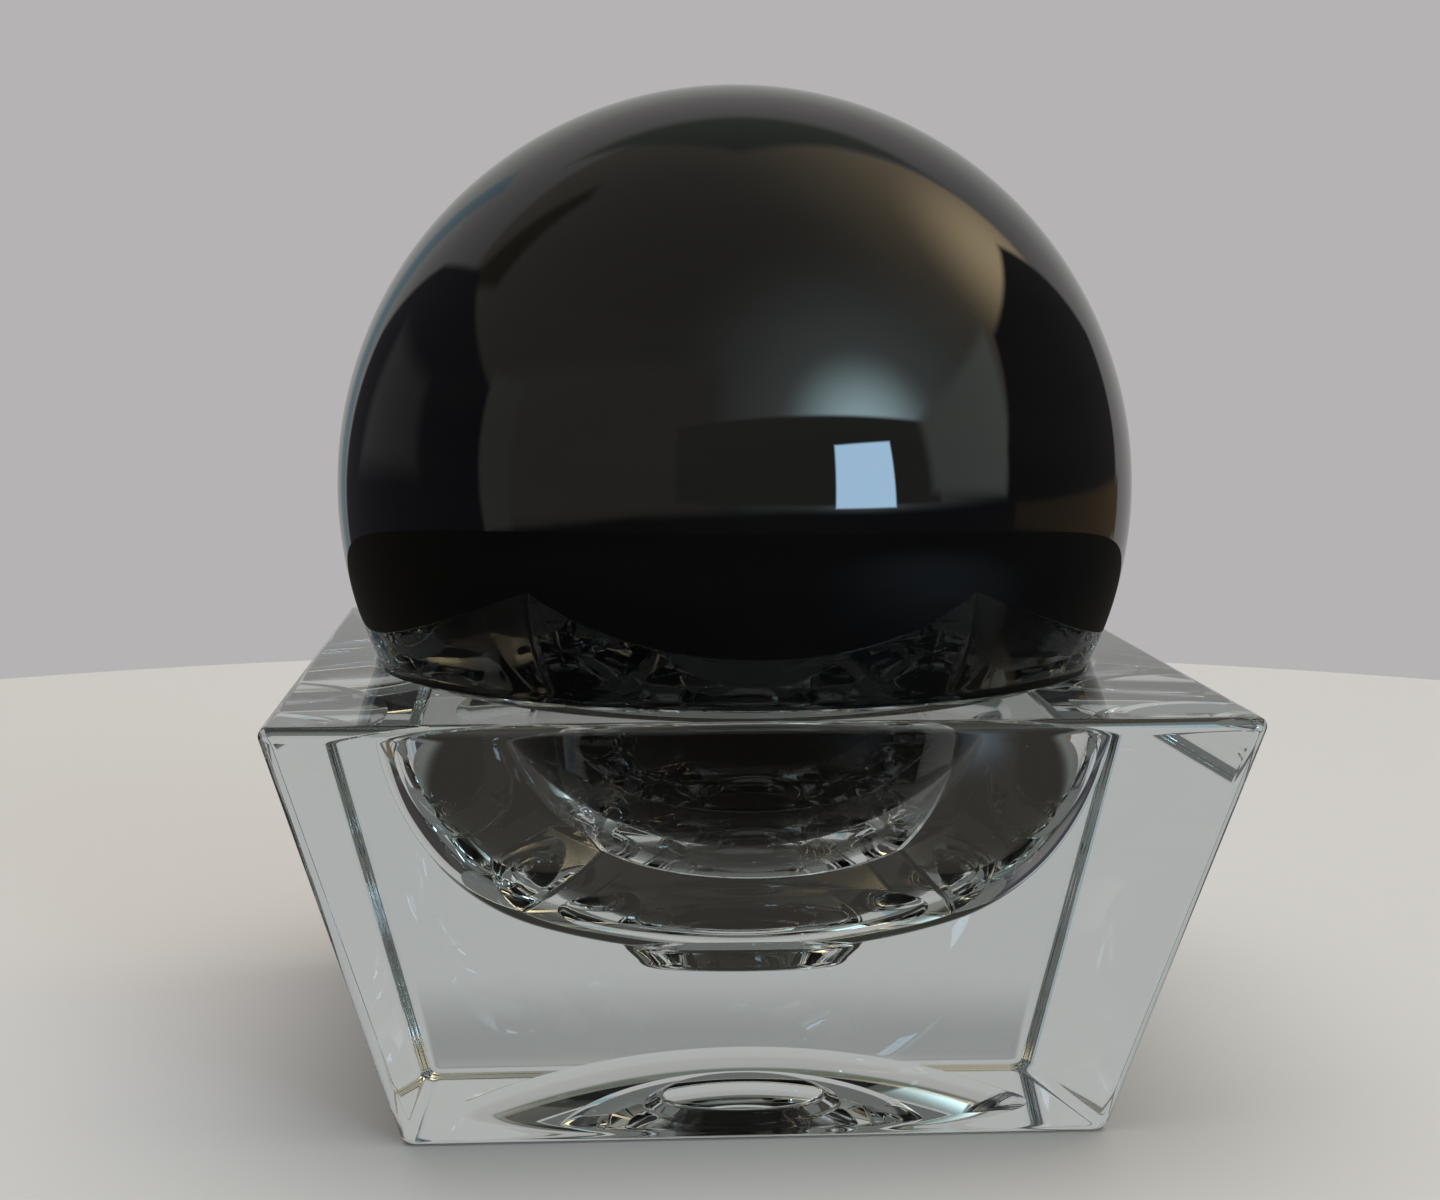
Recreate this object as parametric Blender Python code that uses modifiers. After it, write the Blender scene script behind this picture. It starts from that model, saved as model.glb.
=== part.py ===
"""Obsidian sphere resting in the round mouth of a clear glass stand.

The stand is an upturned square pyramid with its tip cut off. A round bowl is sunk in its wide top, with a small
round recess at the middle of the bowl's floor, and its foot is hollowed so that it stands on a rim.

Frame: +Z up, origin at the centre of the foot on the surface that it stands on, front face towards -Y. Metres.
"""
import math

import bmesh
import bpy
from mathutils import Matrix

# Sphere
SPHERE_RADIUS = 0.025
SPHERE_SEGMENTS = 64
SPHERE_RINGS = 32

# Stand, outside: widths before its edges are rounded
TOP_WIDTH = 0.0543
FOOT_WIDTH = 0.0404
STAND_HEIGHT = 0.0252
EDGE_ROUNDING = 0.0007
EDGE_STEPS = 3

# Bowl: a rounded lip, then three arcs down to the recess, each one starting at a slope measured from level
FLOOR_ARC_RADIUS = 0.0378
FLOOR_ARC_SLOPE = math.radians(17.8)
CORNER_ARC_RADIUS = 0.0127
CORNER_ARC_SLOPE = math.radians(53.9)
WALL_ARC_RADIUS = 0.0171
WALL_ARC_SLOPE = math.radians(82.5)
LIP_ROUNDING = 0.0008
LIP_TOP_SLOPE = math.radians(8.0)
LIP_STEPS = 4
ARC_STEPS = 5
MOUTH_RADIUS = 0.0226

# Recess in the bowl's floor
RECESS_TOP_RADIUS = 0.0070
RECESS_FLOOR_RADIUS = 0.0063
RECESS_FLOOR_Z = 0.0092
RECESS_ROUNDING = 0.0005

# Hollow in the underside: a shallow dome
HOLLOW_RADIUS = 0.0178
HOLLOW_HEIGHT = 0.0035
HOLLOW_STEPS = 6

# The sphere and the lip keep this much air between them
CONTACT_GAP = 0.0003
# Neighbouring facets that meet at less than this angle are shaded as one smooth face
SMOOTH_BELOW = math.radians(30)
# How far a cutter reaches past the face that it opens, and how many sides it is turned with
CUTTER_REACH = 0.0004
TURN_STEPS = 64


def clear_scene():
    for old in list(bpy.data.objects):
        bpy.data.objects.remove(old, do_unlink=True)


def new_collection(name):
    collection = bpy.data.collections.new(name)
    bpy.context.scene.collection.children.link(collection)
    return collection


def new_material(name, colour, roughness, metallic, transmission=0.0, ior=1.5):
    material = bpy.data.materials.new(name)
    material.use_nodes = True
    shader = material.node_tree.nodes["Principled BSDF"]
    shader.inputs["Base Color"].default_value = (*colour, 1.0)
    shader.inputs["Roughness"].default_value = roughness
    shader.inputs["Metallic"].default_value = metallic
    shader.inputs["Transmission Weight"].default_value = transmission
    shader.inputs["IOR"].default_value = ior
    return material


def add_object(name, mesh, collection, material=None):
    thing = bpy.data.objects.new(name, mesh)
    collection.objects.link(thing)
    if material:
        mesh.materials.append(material)
    return thing


def smooth(mesh):
    mesh.shade_smooth()
    mesh.set_sharp_from_angle(angle=SMOOTH_BELOW)


def arc(centre, radius, start, end, steps):
    """Points on a circle in the (r, z) half plane, angles measured from straight down towards +r."""
    points = []
    for step in range(steps + 1):
        angle = start + (end - start) * step / steps
        points.append((centre[0] + radius * math.sin(angle), centre[1] - radius * math.cos(angle)))
    return points


def lip_centre():
    """Centre of the lip's rounding in the (r, z) half plane."""
    return MOUTH_RADIUS + LIP_ROUNDING, STAND_HEIGHT - LIP_ROUNDING


def sphere_centre_height():
    """Height at which the sphere touches nothing but comes within the gap of the rounded lip."""
    lip_r, lip_z = lip_centre()
    reach = SPHERE_RADIUS + CONTACT_GAP + LIP_ROUNDING
    return lip_z + math.sqrt(reach ** 2 - lip_r ** 2)


def bowl_profile():
    """The bowl's outline, as (r, z) points from the middle of its floor up to just above the lip."""
    # The lip turns from the wall's slope to nearly level, so that its last facet still cuts the top face
    lip_r, lip_z = lip_centre()
    lip = []
    for step in range(LIP_STEPS + 1):
        slope = WALL_ARC_SLOPE + (LIP_TOP_SLOPE - WALL_ARC_SLOPE) * step / LIP_STEPS
        lip.append((lip_r - LIP_ROUNDING * math.sin(slope), lip_z + LIP_ROUNDING * math.cos(slope)))
    last_r, last_z = lip[-1]
    climb = STAND_HEIGHT + CUTTER_REACH - last_z
    lip.append((last_r + climb / math.tan(LIP_TOP_SLOPE), STAND_HEIGHT + CUTTER_REACH))

    # The arcs are worked out from the lip down, each one tangent to the one above it
    wall_centre = (lip[0][0] - WALL_ARC_RADIUS * math.sin(WALL_ARC_SLOPE),
                   lip[0][1] + WALL_ARC_RADIUS * math.cos(WALL_ARC_SLOPE))
    wall = arc(wall_centre, WALL_ARC_RADIUS, CORNER_ARC_SLOPE, WALL_ARC_SLOPE, ARC_STEPS)
    corner_centre = (wall[0][0] - CORNER_ARC_RADIUS * math.sin(CORNER_ARC_SLOPE),
                     wall[0][1] + CORNER_ARC_RADIUS * math.cos(CORNER_ARC_SLOPE))
    corner = arc(corner_centre, CORNER_ARC_RADIUS, FLOOR_ARC_SLOPE, CORNER_ARC_SLOPE, ARC_STEPS)
    floor_centre = (corner[0][0] - FLOOR_ARC_RADIUS * math.sin(FLOOR_ARC_SLOPE),
                    corner[0][1] + FLOOR_ARC_RADIUS * math.cos(FLOOR_ARC_SLOPE))
    floor_start = math.asin((RECESS_TOP_RADIUS + RECESS_ROUNDING - floor_centre[0]) / FLOOR_ARC_RADIUS)
    floor = arc(floor_centre, FLOOR_ARC_RADIUS, floor_start, FLOOR_ARC_SLOPE, ARC_STEPS)

    recess = [
        (0.0, RECESS_FLOOR_Z),
        (RECESS_FLOOR_RADIUS - RECESS_ROUNDING, RECESS_FLOOR_Z),
        (RECESS_FLOOR_RADIUS, RECESS_FLOOR_Z + RECESS_ROUNDING / 2),
        (RECESS_TOP_RADIUS, floor[0][1] - RECESS_ROUNDING / 2),
    ]
    return recess + floor + corner[1:] + wall[1:] + lip[1:]


def hollow_profile():
    """The hollow's outline, as (r, z) points from just below the foot's rim up to its top at the axis."""
    radius = (HOLLOW_RADIUS ** 2 + HOLLOW_HEIGHT ** 2) / (2 * HOLLOW_HEIGHT)
    centre_z = HOLLOW_HEIGHT - radius
    rim_slope = math.asin(HOLLOW_RADIUS / radius)
    points = [(HOLLOW_RADIUS + CUTTER_REACH / math.tan(rim_slope), -CUTTER_REACH)]
    for step in range(HOLLOW_STEPS + 1):
        angle = rim_slope * (1 - step / HOLLOW_STEPS)
        points.append((radius * math.sin(angle), centre_z + radius * math.cos(angle)))
    return points


def turned_cutter(name, profile, collection):
    """A closed solid turned round Z from an outline that runs from the top of its outer side to the bottom."""
    mesh = bpy.data.meshes.new(name)
    shape = bmesh.new()
    ring = [shape.verts.new((r, 0.0, z)) for r, z in profile]
    for first, second in zip(ring, ring[1:]):
        shape.edges.new((first, second))
    shape.to_mesh(mesh)
    shape.free()
    cutter = add_object(name, mesh, collection)
    screw = cutter.modifiers.new("Turn", "SCREW")
    screw.steps = TURN_STEPS
    screw.render_steps = TURN_STEPS
    screw.use_merge_vertices = True
    screw.merge_threshold = 0.00001
    cutter.hide_render = True
    cutter.display_type = "WIRE"
    return cutter


def make_sphere(collection, material):
    mesh = bpy.data.meshes.new("obsidian_sphere")
    shape = bmesh.new()
    bmesh.ops.create_uvsphere(shape, u_segments=SPHERE_SEGMENTS, v_segments=SPHERE_RINGS, radius=SPHERE_RADIUS)
    shape.to_mesh(mesh)
    shape.free()
    smooth(mesh)
    sphere = add_object("obsidian_sphere", mesh, collection, material)
    sphere.location = (0.0, 0.0, sphere_centre_height())
    return sphere


def make_stand(collection, cutters, material):
    """The block: a four-sided cone, wide end up, with its edges rounded and then the hollows cut."""
    mesh = bpy.data.meshes.new("glass_stand")
    shape = bmesh.new()
    # Half a square's diagonal, as a share of its width
    corner_reach = math.sqrt(2) / 2
    bmesh.ops.create_cone(shape, cap_ends=True, segments=4, radius1=FOOT_WIDTH * corner_reach,
                          radius2=TOP_WIDTH * corner_reach, depth=STAND_HEIGHT)
    # The cone's corners start on the axes, and turn to the diagonals
    bmesh.ops.rotate(shape, verts=shape.verts, matrix=Matrix.Rotation(math.radians(45), 3, "Z"))
    bmesh.ops.translate(shape, verts=shape.verts, vec=(0.0, 0.0, STAND_HEIGHT / 2))
    shape.to_mesh(mesh)
    shape.free()
    stand = add_object("glass_stand", mesh, collection, material)

    rounding = stand.modifiers.new("Rounded edges", "BEVEL")
    rounding.width = EDGE_ROUNDING
    rounding.segments = EDGE_STEPS
    rounding.limit_method = "ANGLE"

    top = bowl_profile()
    bowl = turned_cutter("bowl", [(0.0, top[-1][1])] + top[::-1], cutters)
    hollow = turned_cutter("foot_hollow", closed_below(hollow_profile()), cutters)
    for cutter in (bowl, hollow):
        cut = stand.modifiers.new(cutter.name, "BOOLEAN")
        cut.operation = "DIFFERENCE"
        cut.solver = "EXACT"
        cut.object = cutter
    smooth(mesh)
    return stand


def closed_below(profile):
    """The dome's outline from its top at the axis down to the rim, then back to the axis along the bottom."""
    return profile[::-1] + [(0.0, profile[0][1])]


def main():
    clear_scene()
    part = new_collection("Obsidian sphere in a glass stand")
    cutters = new_collection("Cutters")
    obsidian = new_material("Obsidian", (0.006, 0.006, 0.007), 0.03, 0.0, ior=1.49)
    glass = new_material("Clear glass", (0.93, 0.95, 0.94), 0.02, 0.0, transmission=1.0, ior=1.5)
    make_sphere(part, obsidian)
    make_stand(part, cutters, glass)


main()
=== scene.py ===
"""Looks of the obsidian sphere in its clear glass stand: fine surfaces, finishes, floor, light and camera.

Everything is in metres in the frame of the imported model: +Z up, origin at the centre of the foot, and the
front towards -Y.
"""
import math

import bmesh
import bpy
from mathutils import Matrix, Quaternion, Vector, noise


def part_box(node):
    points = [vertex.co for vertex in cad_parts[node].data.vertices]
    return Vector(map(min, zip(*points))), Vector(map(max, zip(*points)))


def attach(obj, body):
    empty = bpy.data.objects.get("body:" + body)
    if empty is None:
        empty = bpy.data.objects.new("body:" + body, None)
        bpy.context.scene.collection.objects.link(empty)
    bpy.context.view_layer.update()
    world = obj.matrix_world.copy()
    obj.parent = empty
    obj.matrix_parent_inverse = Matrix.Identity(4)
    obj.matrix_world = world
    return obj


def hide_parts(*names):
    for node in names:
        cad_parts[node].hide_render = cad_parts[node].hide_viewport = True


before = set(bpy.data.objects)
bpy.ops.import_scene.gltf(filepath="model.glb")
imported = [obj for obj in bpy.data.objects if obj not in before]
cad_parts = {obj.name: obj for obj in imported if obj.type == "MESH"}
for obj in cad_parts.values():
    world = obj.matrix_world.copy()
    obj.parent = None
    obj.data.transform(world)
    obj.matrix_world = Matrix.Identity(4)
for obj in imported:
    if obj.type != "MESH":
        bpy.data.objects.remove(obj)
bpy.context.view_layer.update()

# Camera, at the photograph's viewing angle
CAMERA_PLACE = Vector((-0.0108, -0.1480, 0.0460))
CAMERA_AIM = Vector((-0.0009, 0.0, 0.0286))
CAMERA_ROLL = math.radians(0.08)
CAMERA_LENS = 58.2

# Sizes that the frame gives
sphere_low, sphere_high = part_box("obsidian_sphere")
stand_low, stand_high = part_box("glass_stand")
SPHERE_CENTRE = (sphere_low + sphere_high) / 2
SPHERE_RADIUS = (sphere_high.z - sphere_low.z) / 2
STAND_HEIGHT = stand_high.z - stand_low.z

# Sphere: faces along an edge of the cube that it is blown up from, and how far its polish strays from round
SPHERE_FACES = 96
STRAY_HEIGHT = 0.000006
STRAY_SCALE = 1.7

# Stand, outside: half widths of the sharp block before its edges are rounded
TOP_HALF = 0.02715
FOOT_HALF = 0.02020
UPRIGHT_EDGE_ROUNDING = 0.0009
LEAST_CORNER_ROUNDING = 0.0002
TOP_EDGE_ROUNDING = 0.0006
FOOT_EDGE_ROUNDING = 0.0007

# Bowl: a rounded lip, then three arcs down to the recess, each one starting at a slope measured from level
LIP_ROUNDING = 0.0008
LIP_GAP = 0.00003
WALL_ARC_RADIUS = 0.0171
WALL_ARC_SLOPE = math.radians(82.5)
CORNER_ARC_RADIUS = 0.0127
CORNER_ARC_SLOPE = math.radians(53.9)
FLOOR_ARC_RADIUS = 0.0378
FLOOR_ARC_SLOPE = math.radians(17.8)

# Recess in the bowl's floor
RECESS_TOP_RADIUS = 0.0070
RECESS_FLOOR_RADIUS = 0.0063
RECESS_FLOOR_Z = 0.0092
RECESS_ROUNDING = 0.0008

# Hollow in the underside: a shallow dome
HOLLOW_RADIUS = 0.0178
HOLLOW_HEIGHT = 0.0035

# Fineness of the stand's mesh: columns in an eighth of a turn, of which some go round half an upright edge
EIGHTH_COLUMNS = 30
EDGE_COLUMNS = 7
FLAT_MARGIN = 0.00004

# Steps along each arc of its outline
LIP_STEPS = 12
WALL_ARC_STEPS = 16
CORNER_ARC_STEPS = 14
FLOOR_ARC_STEPS = 14
RECESS_STEPS = 6
HOLLOW_STEPS = 20
TOP_EDGE_STEPS = 8
FOOT_EDGE_STEPS = 6

# Where rings lie across its plain faces, as shares of the way, with one close to each rounding
RECESS_FLOOR_SHARES = (0.25, 0.5, 0.75, 0.97)
TOP_FACE_SHARES = (0.01, 0.25, 0.5, 0.75, 0.99)
SIDE_SHARES = (0.995, 0.8, 0.6, 0.4, 0.2, 0.005)
FOOT_FACE_SHARES = (0.02, 0.5, 0.98)

# Obsidian: its flow bands' tilt and stretch, their two colours, and the range of its roughness
OBSIDIAN_IOR = 1.49
BAND_TILT = (0.5, 0.35, 0.2)
BAND_STRETCH = (1.0, 1.0, 5.0)
BLACK_BAND = (0.0016, 0.0016, 0.0019, 1.0)
PALER_BAND = (0.0034, 0.0031, 0.0030, 1.0)
POLISH_ROUGHNESS = (0.004, 0.014)

# Glass: the tint that a long way through it gives, and the faint unevenness of its surface
GLASS_IOR = 1.5
GLASS_TINT = (0.55, 0.80, 0.72, 1.0)
GLASS_DENSITY = 3.0
WAVE_STRENGTH = 0.02
WAVE_HEIGHT = 0.0002

# Floor and wall round the object, the floor a hair below the foot and the wall a hair above the floor
STAGE_RADIUS = 0.24
STAGE_STEPS = 128
FLOOR_DROP = 0.00002
WALL_LIFT = 0.0001
COVE_RADIUS = 0.06
COVE_STEPS = 16
WALL_HEIGHT = 1.2
FLOOR_COLOUR = (0.56, 0.54, 0.53)
FLOOR_UNEVENNESS = 0.985
WALL_COLOUR = (0.465, 0.450, 0.460)

# What clear glass shows of them, as glowing painted tones: the floor close by and further off, and the wall
# from its foot up. The floor's tones are painted shade, darker than the wall above and darkest further off
# and at the wall's foot, where floor and wall meet
NEAR_SHADE_THROUGH_GLASS = (0.360, 0.355, 0.340)
NEAR_RADIUS = 0.035
LOW_SHADE_THROUGH_GLASS = (0.290, 0.296, 0.296)
LOW_RADIUS = 0.095
HIGH_THROUGH_GLASS = (0.443, 0.447, 0.447)
HIGH_FROM = 0.010

# What mirror images show of the floor, as glowing painted tones: a dim painted reflection, but for a painted
# pool of light
DIM_FLOOR_COLOUR = (0.030, 0.028, 0.024)
LIT_FLOOR_COLOUR = (0.11, 0.14, 0.17)
LIT_PLACE = (0.085, -0.075, 0.0)
LIT_RADIUS = 0.070

# A painted sheen: what the finer images inside the glass show of the floor behind the object, from the first
# distance to the second, and everywhere in images that one piece of glass mirrors inside itself more than
# once
PAINTED_FLOOR_SHEEN = (0.14, 0.145, 0.14)
DEEP_FLOOR_FROM = 0.045
DEEP_FLOOR_TO = 0.100

# One large soft light above
OVERHEAD_HEIGHT = 0.75
OVERHEAD_SIZE = 0.9
OVERHEAD_POWER = 6.0

# The studio as the polish and the glass mirror it. Its low colour turns into its high one between two
# heights on a sphere of radius one. Patches each lie over those before: name, softness of the edges in
# degrees, brightness, and corners as azimuth and elevation. A patch of one corner is a round pool, and its
# softness is its radius.
LOW_COLOUR = (0.060, 0.055, 0.060)
LOW_COLOUR_TO = -0.12
HIGH_COLOUR = (0.275, 0.262, 0.225)
HIGH_COLOUR_FROM = 0.14
WORLD_PATCHES = (
    ("warm glow high up", 52, (0.90, 0.72, 0.47), ((116, 43),)),
    ("warm light", 24, (2.60, 2.05, 1.25), ((112, 37),)),
    ("cool glow high up", 58, (0.95, 1.10, 1.08), ((32, 19),)),
    ("bright cool glow", 25, (5.60, 7.80, 8.40), ((32, 16),)),
    ("pale screen behind", 3, (0.43, 0.415, 0.41),
     ((-117, 33), (-129, 58), (-152, 67), (176, 70), (145, 54), (118, 40), (118, -30), (-117, -30))),
    ("pale foot of that screen", 10, (0.468, 0.468, 0.461), ((-145, 27), (145, 27), (145, 0), (-145, 0))),
    ("dark edge high on the left", 4, (0.11, 0.09, 0.065),
     ((-116, 33), (-129, 60), (-121, 60), (-104, 39))),
    ("dark above the screen behind", 5, (0.165, 0.185, 0.155),
     ((-147, 47), (-165, 64), (176, 72), (155, 63), (138, 42))),
    ("blue edge", 3, (0.24, 0.36, 0.41), ((-149, 34), (-156, 32), (-159, -12), (-153, -12))),
    ("grey screen on the left", 9, (0.34, 0.32, 0.28), ((-80, 24), (-8, 34), (-8, -3), (-77, -9))),
    ("edge of that screen", 3, (0.37, 0.37, 0.345), ((-82, 25), (-70, 25), (-68, -10), (-77, -12))),
    ("grey screen in front", 1.5, (0.25, 0.24, 0.215), ((-20, 19), (54, 17), (54, -2), (-20, -1))),
    ("pale screen on the right", 4, (0.80, 0.86, 0.80), ((50, 18), (86, 32), (76, -1), (52, 1))),
    ("dark foot of the front", 3, (0.050, 0.048, 0.052),
     ((-75, -9), (-32, -5), (10, -3), (80, -2), (80, -16), (-75, -16))),
    ("black flag on the left", 2, (0.055, 0.055, 0.065),
     ((-117, 37), (-82, 22), (-77, -12), (-152, -12), (-147, 12), (-135, 28))),
    ("grey in that flag", 6, (0.17, 0.16, 0.16), ((-133, 18), (-108, 17), (-104, 2), (-136, 0))),
    ("black flag on the right", 2, (0.055, 0.050, 0.050),
     ((124, 34), (89, 30), (78, 8), (76, -12), (131, -12), (138, 12))),
    ("brown foot of that flag", 2, (0.17, 0.12, 0.07), ((80, -3), (136, -2), (136, -8), (80, -8))),
    ("softbox", 0.8, (8.0, 12.0, 16.0), ((23.7, 13.9), (39.7, 13.9), (40.6, -2.6), (23.5, -2.6))),
)
POOL_FADING = 2.5

# How much of the studio on the viewer's side is lost in images that have gone through more than two faces.
# The loss sets in between two cosines of the angle from straight in front of the object.
DEEP_DIMMING = 0.7
FRONT_FROM = 0.2
FRONT_TO = 0.7

# How many faces light is followed through, and how many times it is mirrored
THROUGH_BOUNCES = 12
MIRROR_BOUNCES = 7


def new_material(name):
    material = bpy.data.materials.new(name)
    material.use_nodes = True
    tree = material.node_tree
    return material, tree, tree.nodes["Principled BSDF"]


def add_node(tree, kind, **values):
    node = tree.nodes.new(kind)
    for key, value in values.items():
        setattr(node, key, value)
    return node


def add_noise(tree, vector, scale, detail=3.0, roughness=0.5, distortion=0.0):
    node = add_node(tree, "ShaderNodeTexNoise")
    node.inputs["Scale"].default_value = scale
    node.inputs["Detail"].default_value = detail
    node.inputs["Roughness"].default_value = roughness
    node.inputs["Distortion"].default_value = distortion
    tree.links.new(vector, node.inputs["Vector"])
    return node.outputs["Fac"]


def add_range(tree, value, low, high, to_low, to_high):
    node = add_node(tree, "ShaderNodeMapRange", interpolation_type="SMOOTHSTEP")
    for name, number in (("From Min", low), ("From Max", high), ("To Min", to_low), ("To Max", to_high)):
        node.inputs[name].default_value = number
    tree.links.new(value, node.inputs["Value"])
    return node.outputs["Result"]


def add_bump(tree, shader, height, strength, distance):
    node = add_node(tree, "ShaderNodeBump")
    node.inputs["Strength"].default_value = strength
    node.inputs["Distance"].default_value = distance
    tree.links.new(height, node.inputs["Height"])
    tree.links.new(node.outputs["Normal"], shader.inputs["Normal"])


def add_ramp(tree, value, first, second, first_place=0.0, second_place=1.0):
    node = add_node(tree, "ShaderNodeValToRGB")
    low, high = node.color_ramp.elements
    low.position, low.color = first_place, first
    high.position, high.color = second_place, second
    tree.links.new(value, node.inputs["Fac"])
    return node.outputs["Color"]


def object_coordinates(tree):
    return add_node(tree, "ShaderNodeTexCoord").outputs["Object"]


def object_axis(tree, axis):
    split = add_node(tree, "ShaderNodeSeparateXYZ")
    tree.links.new(object_coordinates(tree), split.inputs["Vector"])
    return split.outputs[axis]


def distance_from(tree, place):
    node = add_node(tree, "ShaderNodeVectorMath", operation="DISTANCE")
    node.inputs[1].default_value = place
    tree.links.new(object_coordinates(tree), node.inputs[0])
    return node.outputs["Value"]


def dot_product(tree, way, normal):
    node = add_node(tree, "ShaderNodeVectorMath", operation="DOT_PRODUCT")
    node.inputs[1].default_value = normal
    tree.links.new(way, node.inputs[0])
    return node.outputs["Value"]


def at_most(tree, value, count):
    """One where a whole number is no larger than the count, and nought elsewhere."""
    node = add_node(tree, "ShaderNodeMath", operation="LESS_THAN")
    node.inputs[1].default_value = count + 0.5
    tree.links.new(value, node.inputs[0])
    return node.outputs["Value"]


def more_than(tree, value, count):
    """One where a whole number is larger than the count, and nought elsewhere."""
    node = add_node(tree, "ShaderNodeMath", operation="GREATER_THAN")
    node.inputs[1].default_value = count + 0.5
    tree.links.new(value, node.inputs[0])
    return node.outputs["Value"]


def multiply(tree, first, second):
    node = add_node(tree, "ShaderNodeMath", operation="MULTIPLY")
    tree.links.new(first, node.inputs[0])
    tree.links.new(second, node.inputs[1])
    return node.outputs["Value"]


def mix_colours(tree, share, first, second):
    """Two colours mixed, each one given as three numbers or as another node's output."""
    mix = add_node(tree, "ShaderNodeMix", data_type="RGBA")
    tree.links.new(share, mix.inputs["Factor"])
    for name, colour in (("A", first), ("B", second)):
        if isinstance(colour, tuple):
            mix.inputs[name].default_value = (*colour, 1.0)
        else:
            tree.links.new(colour, mix.inputs[name])
    return mix.outputs["Result"]


def mix_shaders(tree, share, first, second):
    """Two shaders mixed, as the surface of the tree's material."""
    node = add_node(tree, "ShaderNodeMixShader")
    tree.links.new(share, node.inputs["Fac"])
    tree.links.new(first, node.inputs[1])
    tree.links.new(second, node.inputs[2])
    tree.links.new(node.outputs["Shader"], tree.nodes["Material Output"].inputs["Surface"])


def obsidian_material():
    """Black volcanic glass with a mirror polish: faint flow bands in its colour and a little haze."""
    material, tree, shader = new_material("Polished obsidian")
    place = object_coordinates(tree)
    shader.inputs["IOR"].default_value = OBSIDIAN_IOR

    stretch = add_node(tree, "ShaderNodeMapping")
    stretch.inputs["Rotation"].default_value = BAND_TILT
    stretch.inputs["Scale"].default_value = BAND_STRETCH
    tree.links.new(place, stretch.inputs["Vector"])
    bands = add_noise(tree, stretch.outputs["Vector"], 60.0, detail=4.0, distortion=0.4)
    colour = add_ramp(tree, bands, BLACK_BAND, PALER_BAND, 0.35, 0.75)
    tree.links.new(colour, shader.inputs["Base Color"])

    haze = add_noise(tree, place, 240.0, detail=5.0, roughness=0.6)
    tree.links.new(add_range(tree, haze, 0.35, 0.8, *POLISH_ROUGHNESS), shader.inputs["Roughness"])
    return material


def glass_material():
    """Clear pressed glass: almost colourless, with the faint unevenness of a fire-polished surface."""
    material, tree, shader = new_material("Clear glass")
    shader.inputs["Base Color"].default_value = (1.0, 1.0, 1.0, 1.0)
    shader.inputs["Transmission Weight"].default_value = 1.0
    shader.inputs["IOR"].default_value = GLASS_IOR
    shader.inputs["Roughness"].default_value = 0.0

    wave = add_noise(tree, object_coordinates(tree), 90.0, detail=1.0)
    add_bump(tree, shader, wave, WAVE_STRENGTH, WAVE_HEIGHT)

    absorb = add_node(tree, "ShaderNodeVolumeAbsorption")
    absorb.inputs["Color"].default_value = GLASS_TINT
    absorb.inputs["Density"].default_value = GLASS_DENSITY
    tree.links.new(absorb.outputs["Volume"], tree.nodes["Material Output"].inputs["Volume"])
    return material


def floor_material():
    """Matt and lit by the lamp to the eye; straight through glass a glow of painted shade, and in mirror
    images a dim painted reflection with a painted pool of light and a painted sheen.
    """
    material, tree, shader = new_material("Pale floor")
    cloud = add_noise(tree, object_coordinates(tree), 14.0)
    darker = [channel * FLOOR_UNEVENNESS for channel in FLOOR_COLOUR]
    tone = add_ramp(tree, cloud, (*darker, 1.0), (*FLOOR_COLOUR, 1.0))
    tree.links.new(tone, shader.inputs["Base Color"])
    shader.inputs["Roughness"].default_value = 0.8
    shader.inputs["Specular IOR Level"].default_value = 0.2

    path = add_node(tree, "ShaderNodeLightPath")
    faces = path.outputs["Ray Depth"]
    # Painted reflection: mirror images show the floor as a dim glow with a painted pool of light, and a
    # painted sheen behind the object and in the glass's repeated inner images
    lit = add_range(tree, distance_from(tree, LIT_PLACE), 0.0, LIT_RADIUS, 1.0, 0.0)
    mirrored = mix_colours(tree, lit, DIM_FLOOR_COLOUR, LIT_FLOOR_COLOUR)
    behind = add_range(tree, object_axis(tree, "Y"), DEEP_FLOOR_FROM, DEEP_FLOOR_TO, 0.0, 1.0)
    behind = multiply(tree, behind, more_than(tree, faces, 1))
    mirrored = mix_colours(tree, behind, mirrored, PAINTED_FLOOR_SHEEN)
    crossed_once = at_most(tree, path.outputs["Transmission Depth"], 2)
    inside_glass = multiply(tree, crossed_once, more_than(tree, faces, 3))
    mirrored = mix_colours(tree, inside_glass, mirrored, PAINTED_FLOOR_SHEEN)

    # Painted shade: straight through glass the floor glows darker than the wall, and darker still further
    # off, towards the wall's foot
    further = add_range(tree, distance_from(tree, (0.0, 0.0, 0.0)), NEAR_RADIUS, LOW_RADIUS, 0.0, 1.0)
    pale = mix_colours(tree, further, NEAR_SHADE_THROUGH_GLASS, LOW_SHADE_THROUGH_GLASS)
    seen_through = multiply(tree, path.outputs["Is Transmission Ray"], at_most(tree, faces, 2))
    glow = add_node(tree, "ShaderNodeEmission")
    tree.links.new(mix_colours(tree, seen_through, mirrored, pale), glow.inputs["Color"])
    # Rays that glass bends count as glossy ones too
    mix_shaders(tree, path.outputs["Is Glossy Ray"], shader.outputs["BSDF"], glow.outputs["Emission"])
    material.cycles.emission_sampling = "NONE"
    return material


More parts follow.
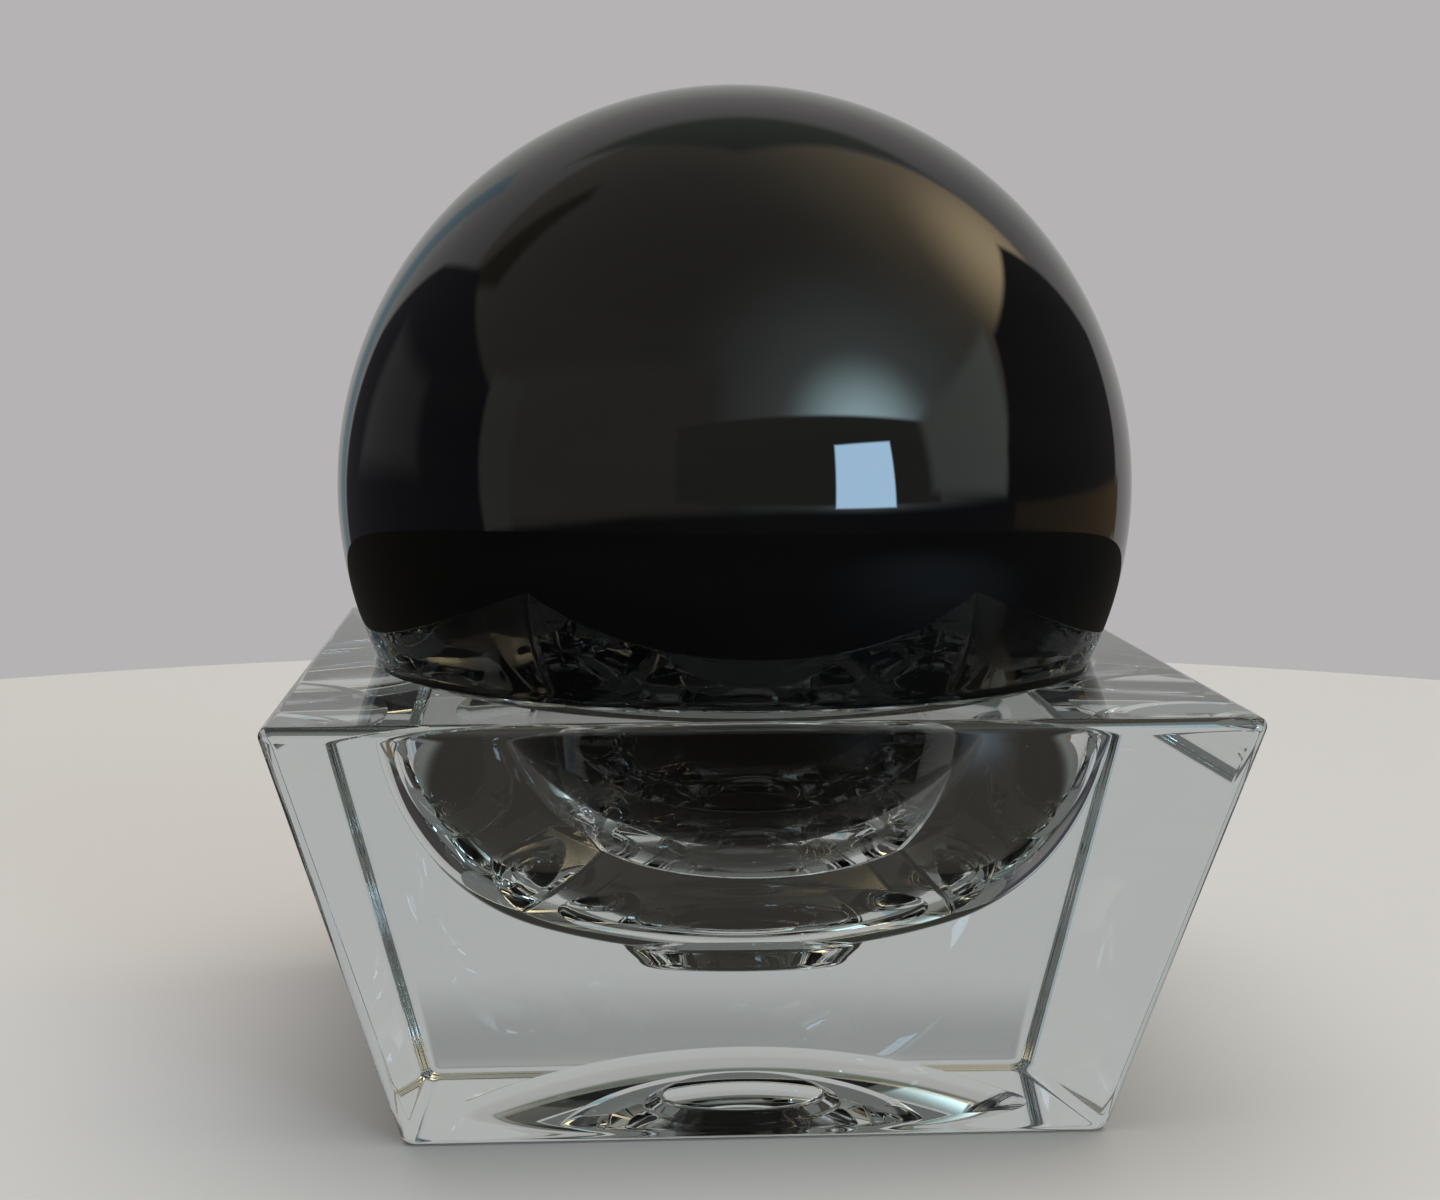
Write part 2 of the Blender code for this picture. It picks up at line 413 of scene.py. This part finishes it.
def wall_material():
    """A glowing wall, evenly bright to the camera and darker at its foot with painted shade straight through
    clear glass, and seen by nothing else.
    """
    material, tree, shader = new_material("Pale wall")
    tree.nodes.remove(shader)
    # Painted shade: through glass the wall's foot glows as dark as the far floor, lightening to its even
    # tone over its lowest part
    up = add_range(tree, object_axis(tree, "Z"), 0.0, HIGH_FROM, 0.0, 1.0)
    tone = mix_colours(tree, up, LOW_SHADE_THROUGH_GLASS, HIGH_THROUGH_GLASS)
    path = add_node(tree, "ShaderNodeLightPath")
    tone = mix_colours(tree, path.outputs["Is Camera Ray"], tone, WALL_COLOUR)
    glow = add_node(tree, "ShaderNodeEmission")
    tree.links.new(tone, glow.inputs["Color"])
    clear = add_node(tree, "ShaderNodeBsdfTransparent")
    seen_through = at_most(tree, path.outputs["Ray Depth"], 2)
    mix_shaders(tree, seen_through, clear.outputs["BSDF"], glow.outputs["Emission"])
    material.cycles.emission_sampling = "NONE"
    return material


def arc(centre, radius, start, end, steps):
    """Points on a circle in the (r, z) half plane, angles measured from straight down towards +r."""
    points = []
    for step in range(steps + 1):
        angle = start + (end - start) * step / steps
        points.append((centre[0] + radius * math.sin(angle), centre[1] - radius * math.cos(angle)))
    return points


def bowl_profile():
    """The bowl's outline from the edge of its recess's floor up to the top face, as (r, z) points."""
    # The lip all but touches the sphere
    lip_z = STAND_HEIGHT - LIP_ROUNDING
    reach = SPHERE_RADIUS + LIP_GAP + LIP_ROUNDING
    lip_r = math.sqrt(reach ** 2 - (SPHERE_CENTRE.z - lip_z) ** 2)
    lip = arc((lip_r, lip_z), LIP_ROUNDING, WALL_ARC_SLOPE - math.pi, -math.pi, LIP_STEPS)

    # The arcs are worked out from the lip down, each one tangent to the one above it
    wall_centre = (lip[0][0] - WALL_ARC_RADIUS * math.sin(WALL_ARC_SLOPE),
                   lip[0][1] + WALL_ARC_RADIUS * math.cos(WALL_ARC_SLOPE))
    wall = arc(wall_centre, WALL_ARC_RADIUS, CORNER_ARC_SLOPE, WALL_ARC_SLOPE, WALL_ARC_STEPS)
    corner_centre = (wall[0][0] - CORNER_ARC_RADIUS * math.sin(CORNER_ARC_SLOPE),
                     wall[0][1] + CORNER_ARC_RADIUS * math.cos(CORNER_ARC_SLOPE))
    corner = arc(corner_centre, CORNER_ARC_RADIUS, FLOOR_ARC_SLOPE, CORNER_ARC_SLOPE, CORNER_ARC_STEPS)
    floor_centre = (corner[0][0] - FLOOR_ARC_RADIUS * math.sin(FLOOR_ARC_SLOPE),
                    corner[0][1] + FLOOR_ARC_RADIUS * math.cos(FLOOR_ARC_SLOPE))
    floor_start = math.asin((RECESS_TOP_RADIUS + RECESS_ROUNDING - floor_centre[0]) / FLOOR_ARC_RADIUS)
    floor = arc(floor_centre, FLOOR_ARC_RADIUS, floor_start, FLOOR_ARC_SLOPE, FLOOR_ARC_STEPS)

    # The recess: flat floor, sloping side, both corners rounded
    side_slope = math.atan2(floor[0][1] - RECESS_FLOOR_Z, RECESS_TOP_RADIUS - RECESS_FLOOR_RADIUS)
    inset = RECESS_ROUNDING * math.tan(side_slope / 2)
    low_centre = (RECESS_FLOOR_RADIUS - inset, RECESS_FLOOR_Z + RECESS_ROUNDING)
    low = arc(low_centre, RECESS_ROUNDING, 0.0, side_slope, RECESS_STEPS)
    high_centre = (floor[0][0] + RECESS_ROUNDING * math.sin(floor_start),
                   floor[0][1] - RECESS_ROUNDING * math.cos(floor_start))
    high = arc(high_centre, RECESS_ROUNDING, side_slope - math.pi, floor_start - math.pi, RECESS_STEPS)
    return low + high[:-1] + floor + corner[1:] + wall[1:] + lip[1:]


def hollow_profile():
    """The hollow's outline from the foot's flat rim to just before its top at the axis, as (r, z) points."""
    radius = (HOLLOW_RADIUS ** 2 + HOLLOW_HEIGHT ** 2) / (2 * HOLLOW_HEIGHT)
    rim_slope = math.asin(HOLLOW_RADIUS / radius)
    centre_z = HOLLOW_HEIGHT - radius
    points = []
    for step in range(HOLLOW_STEPS):
        angle = rim_slope * (1 - step / HOLLOW_STEPS)
        points.append((radius * math.sin(angle), centre_z + radius * math.cos(angle)))
    return points


def circle_ring(radius, z):
    """A ring of the mesh that is round."""
    count = EIGHTH_COLUMNS * 8
    return [Vector((radius * math.sin(math.tau * k / count), -radius * math.cos(math.tau * k / count), z))
            for k in range(count)]


def square_ring(half, rounding, z):
    """A ring of the mesh that is a square with rounded corners, column for column with the round ones."""
    straight = half - rounding
    side_columns = EIGHTH_COLUMNS - EDGE_COLUMNS
    eighth = []
    for k in range(side_columns):
        eighth.append(((straight - FLAT_MARGIN) * k / (side_columns - 1), -half))
    for k in range(EDGE_COLUMNS + 1):
        angle = math.radians(45) * k / EDGE_COLUMNS
        eighth.append((straight + rounding * math.sin(angle), -straight - rounding * math.cos(angle)))
    # The second eighth mirrors the first in the corner's diagonal, and four quarters make the square
    quarter = eighth + [(-y, -x) for x, y in eighth[-2:0:-1]]
    ring = []
    for cos, sin in ((1, 0), (0, 1), (-1, 0), (0, -1)):
        ring += [Vector((x * cos - y * sin, x * sin + y * cos, z)) for x, y in quarter]
    return ring


def side_half_at(z):
    """Half width of the sharp block at a height."""
    return FOOT_HALF + (TOP_HALF - FOOT_HALF) * z / STAND_HEIGHT


def edge_rounding_rings(half, rounding, centre_z, turn_from, turn_to, steps):
    """Rings round the edge where a level face meets the leaning sides.

    The half width and the height follow an arc whose normals turn from one angle to the other, measured
    from level outwards.
    """
    # The arc touches both faces when its centre lies this far inside the sharp edge
    inset = rounding * math.tan(abs(turn_to - turn_from) / 2)
    rings = []
    for step in range(steps + 1):
        angle = turn_from + (turn_to - turn_from) * step / steps
        ring_half = half - inset + rounding * math.cos(angle)
        ring_z = centre_z + rounding * math.sin(angle)
        # A ring that lies further in has tighter corners
        corner_rounding = UPRIGHT_EDGE_ROUNDING - (side_half_at(ring_z) - ring_half)
        rings.append(square_ring(ring_half, max(LEAST_CORNER_ROUNDING, corner_rounding), ring_z))
    return rings


def between(inner, outer, share):
    return [a.lerp(b, share) for a, b in zip(inner, outer)]


def stand_rings():
    """The stand's surface as rings, from the bowl's middle over the top face and the sides to the hollow."""
    profile = bowl_profile()
    floor_rings = [circle_ring(profile[0][0] * share, RECESS_FLOOR_Z) for share in RECESS_FLOOR_SHARES]
    bowl_rings = [circle_ring(r, z) for r, z in profile]

    lean = math.atan2(TOP_HALF - FOOT_HALF, STAND_HEIGHT)
    top_edge = edge_rounding_rings(TOP_HALF, TOP_EDGE_ROUNDING, STAND_HEIGHT - TOP_EDGE_ROUNDING,
                                   math.radians(90), -lean, TOP_EDGE_STEPS)
    top_face = [between(bowl_rings[-1], top_edge[0], share) for share in TOP_FACE_SHARES]

    foot_edge = edge_rounding_rings(FOOT_HALF, FOOT_EDGE_ROUNDING, FOOT_EDGE_ROUNDING,
                                    -lean, math.radians(-90), FOOT_EDGE_STEPS)
    side_low = foot_edge[0][0].z
    side_high = top_edge[-1][0].z
    side = []
    for share in SIDE_SHARES:
        z = side_low + (side_high - side_low) * share
        side.append(square_ring(side_half_at(z), UPRIGHT_EDGE_ROUNDING, z))

    hollow_rings = [circle_ring(r, z) for r, z in hollow_profile()]
    foot_face = [between(foot_edge[-1], hollow_rings[0], share) for share in FOOT_FACE_SHARES]
    return floor_rings + bowl_rings + top_face + top_edge + side + foot_edge + foot_face + hollow_rings


def new_object(name, mesh_name, shape, material):
    """Turns a finished bmesh into an object of the scene."""
    mesh = bpy.data.meshes.new(mesh_name)
    shape.to_mesh(mesh)
    shape.free()
    mesh.materials.append(material)
    thing = bpy.data.objects.new(name, mesh)
    bpy.context.scene.collection.objects.link(thing)
    return thing


def make_stand():
    """The glass block, one closed mesh of rings with a point at the middle of the bowl and of the hollow."""
    shape = bmesh.new()
    layers = [[shape.verts.new(place) for place in ring] for ring in stand_rings()]
    count = len(layers[0])
    for upper, lower in zip(layers, layers[1:]):
        for k in range(count):
            after = (k + 1) % count
            shape.faces.new((upper[k], upper[after], lower[after], lower[k]))
    bowl_middle = shape.verts.new((0.0, 0.0, RECESS_FLOOR_Z))
    hollow_middle = shape.verts.new((0.0, 0.0, HOLLOW_HEIGHT))
    for k in range(count):
        after = (k + 1) % count
        shape.faces.new((bowl_middle, layers[0][after], layers[0][k]))
        shape.faces.new((hollow_middle, layers[-1][k], layers[-1][after]))
    bmesh.ops.recalc_face_normals(shape, faces=shape.faces)
    stand = new_object("stand_clear_glass", "Glass stand", shape, glass_material())
    stand.data.shade_smooth()
    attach(stand, "root")
    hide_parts("glass_stand")


def make_sphere():
    """The ball, blown up from a finely divided cube, so that no pole shows in its mirror polish."""
    shape = bmesh.new()
    bmesh.ops.create_cube(shape, size=2.0)
    bmesh.ops.subdivide_edges(shape, edges=shape.edges, cuts=SPHERE_FACES - 1, use_grid_fill=True)
    for vert in shape.verts:
        # Even out the cube's grid over the sphere
        even = Vector([math.tan(c * math.pi / 4) for c in vert.co])
        direction = even.normalized()
        # Hand-ground stone is round to within a few thousandths of a millimetre
        swell = noise.noise(direction * STRAY_SCALE) * STRAY_HEIGHT
        vert.co = direction * (SPHERE_RADIUS - STRAY_HEIGHT + swell)
    sphere = new_object("polished_obsidian_ball", "Obsidian ball", shape, obsidian_material())
    sphere.data.shade_smooth()
    sphere.location = SPHERE_CENTRE
    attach(sphere, "root")
    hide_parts("obsidian_sphere")


def make_camera():
    data = bpy.data.cameras.new("Camera")
    data.lens = CAMERA_LENS
    data.sensor_width = 36.0
    data.clip_start = 0.005
    data.clip_end = 20.0
    camera = bpy.data.objects.new("Camera", data)
    bpy.context.scene.collection.objects.link(camera)
    camera.location = CAMERA_PLACE
    aim = (CAMERA_AIM - CAMERA_PLACE).to_track_quat("-Z", "Y")
    camera.rotation_mode = "QUATERNION"
    camera.rotation_quaternion = aim @ Quaternion((0.0, 0.0, 1.0), CAMERA_ROLL)
    bpy.context.scene.camera = camera


def make_floor():
    shape = bmesh.new()
    bmesh.ops.create_circle(shape, cap_ends=True, segments=STAGE_STEPS, radius=STAGE_RADIUS)
    floor = new_object("floor", "Floor", shape, floor_material())
    floor.location.z = -FLOOR_DROP


def make_backdrop():
    """A round wall with a coved foot."""
    cove_centre = (STAGE_RADIUS - COVE_RADIUS, WALL_LIFT + COVE_RADIUS)
    outline = arc(cove_centre, COVE_RADIUS, 0.0, math.radians(90), COVE_STEPS)
    outline.append((STAGE_RADIUS, WALL_HEIGHT))
    shape = bmesh.new()
    ring = [shape.verts.new((r, 0.0, z)) for r, z in outline]
    edges = [shape.edges.new(pair) for pair in zip(ring, ring[1:])]
    bmesh.ops.spin(shape, geom=ring + edges, axis=(0.0, 0.0, 1.0), cent=(0.0, 0.0, 0.0), steps=STAGE_STEPS,
                   angle=math.tau)
    bmesh.ops.remove_doubles(shape, verts=shape.verts, dist=0.00001)
    bmesh.ops.recalc_face_normals(shape, faces=shape.faces)
    wall = new_object("backdrop", "Backdrop", shape, wall_material())
    wall.data.shade_smooth()
    wall.visible_diffuse = False
    wall.visible_glossy = False
    wall.visible_shadow = False


def make_overhead_light():
    """One large soft light above, which no mirror image shows."""
    data = bpy.data.lights.new("Overhead soft light", "AREA")
    data.shape = "SQUARE"
    data.size = OVERHEAD_SIZE
    data.energy = OVERHEAD_POWER
    light = bpy.data.objects.new("overhead_soft_light", data)
    bpy.context.scene.collection.objects.link(light)
    light.location = SPHERE_CENTRE + Vector((0.0, 0.0, OVERHEAD_HEIGHT))
    light.visible_glossy = False
    light.visible_transmission = False
    light.visible_camera = False


def direction(azimuth, elevation):
    """Azimuth 0 is towards the viewer and 90 to the viewer's right, both in degrees."""
    a, e = math.radians(azimuth), math.radians(elevation)
    return Vector((math.sin(a) * math.cos(e), -math.cos(a) * math.cos(e), math.sin(e)))


def pool_share(tree, way, middle, radius):
    """One at the middle of a round pool, fading to nought at its radius."""
    near = add_node(tree, "ShaderNodeMapRange")
    near.inputs["From Min"].default_value = math.cos(radius)
    tree.links.new(dot_product(tree, way, middle), near.inputs["Value"])
    fade = add_node(tree, "ShaderNodeMath", operation="POWER")
    fade.inputs[1].default_value = POOL_FADING
    tree.links.new(near.outputs["Result"], fade.inputs[0])
    return fade.outputs["Value"]


def patch_share(tree, way, soft, corners):
    """One inside a patch of the studio and nought outside it, with a soft change between."""
    ways = [direction(*corner) for corner in corners]
    edge = math.radians(soft)
    if len(ways) == 1:
        return pool_share(tree, way, ways[0], edge)
    middle = sum(ways, Vector())
    depth = None
    for first, second in zip(ways, ways[1:] + ways[:1]):
        normal = first.cross(second).normalized()
        if normal.dot(middle) < 0.0:
            normal.negate()
        within = dot_product(tree, way, normal)
        if depth is None:
            depth = within
            continue
        least = add_node(tree, "ShaderNodeMath", operation="MINIMUM")
        tree.links.new(depth, least.inputs[0])
        tree.links.new(within, least.inputs[1])
        depth = least.outputs["Value"]
    return add_range(tree, depth, -edge / 2, edge / 2, 0.0, 1.0)


def make_world():
    """The studio round the object, which lights it softly and shows in its polish."""
    world = bpy.data.worlds.new("Studio")
    bpy.context.scene.world = world
    world.use_nodes = True
    tree = world.node_tree
    way = add_node(tree, "ShaderNodeTexCoord").outputs["Generated"]
    height = dot_product(tree, way, (0.0, 0.0, 1.0))
    high = add_range(tree, height, LOW_COLOUR_TO, HIGH_COLOUR_FROM, 0.0, 1.0)
    colour = mix_colours(tree, high, LOW_COLOUR, HIGH_COLOUR)
    for name, soft, tone, corners in WORLD_PATCHES:
        colour = mix_colours(tree, patch_share(tree, way, soft, corners), colour, tone)
        colour.node.label = name

    in_front = dot_product(tree, way, (0.0, -1.0, 0.0))
    front = add_range(tree, in_front, FRONT_FROM, FRONT_TO, 0.0, DEEP_DIMMING)
    path = add_node(tree, "ShaderNodeLightPath")
    deep = more_than(tree, path.outputs["Ray Depth"], 2)
    colour = mix_colours(tree, multiply(tree, front, deep), colour, (0.0, 0.0, 0.0))
    tree.links.new(colour, tree.nodes["Background"].inputs["Color"])


make_camera()
make_floor()
make_backdrop()
make_overhead_light()
make_world()
make_stand()
make_sphere()

scene = bpy.context.scene
scene.view_settings.view_transform = "Standard"
scene.cycles.max_bounces = THROUGH_BOUNCES
scene.cycles.diffuse_bounces = 1
scene.cycles.transmission_bounces = THROUGH_BOUNCES
scene.cycles.glossy_bounces = MIRROR_BOUNCES
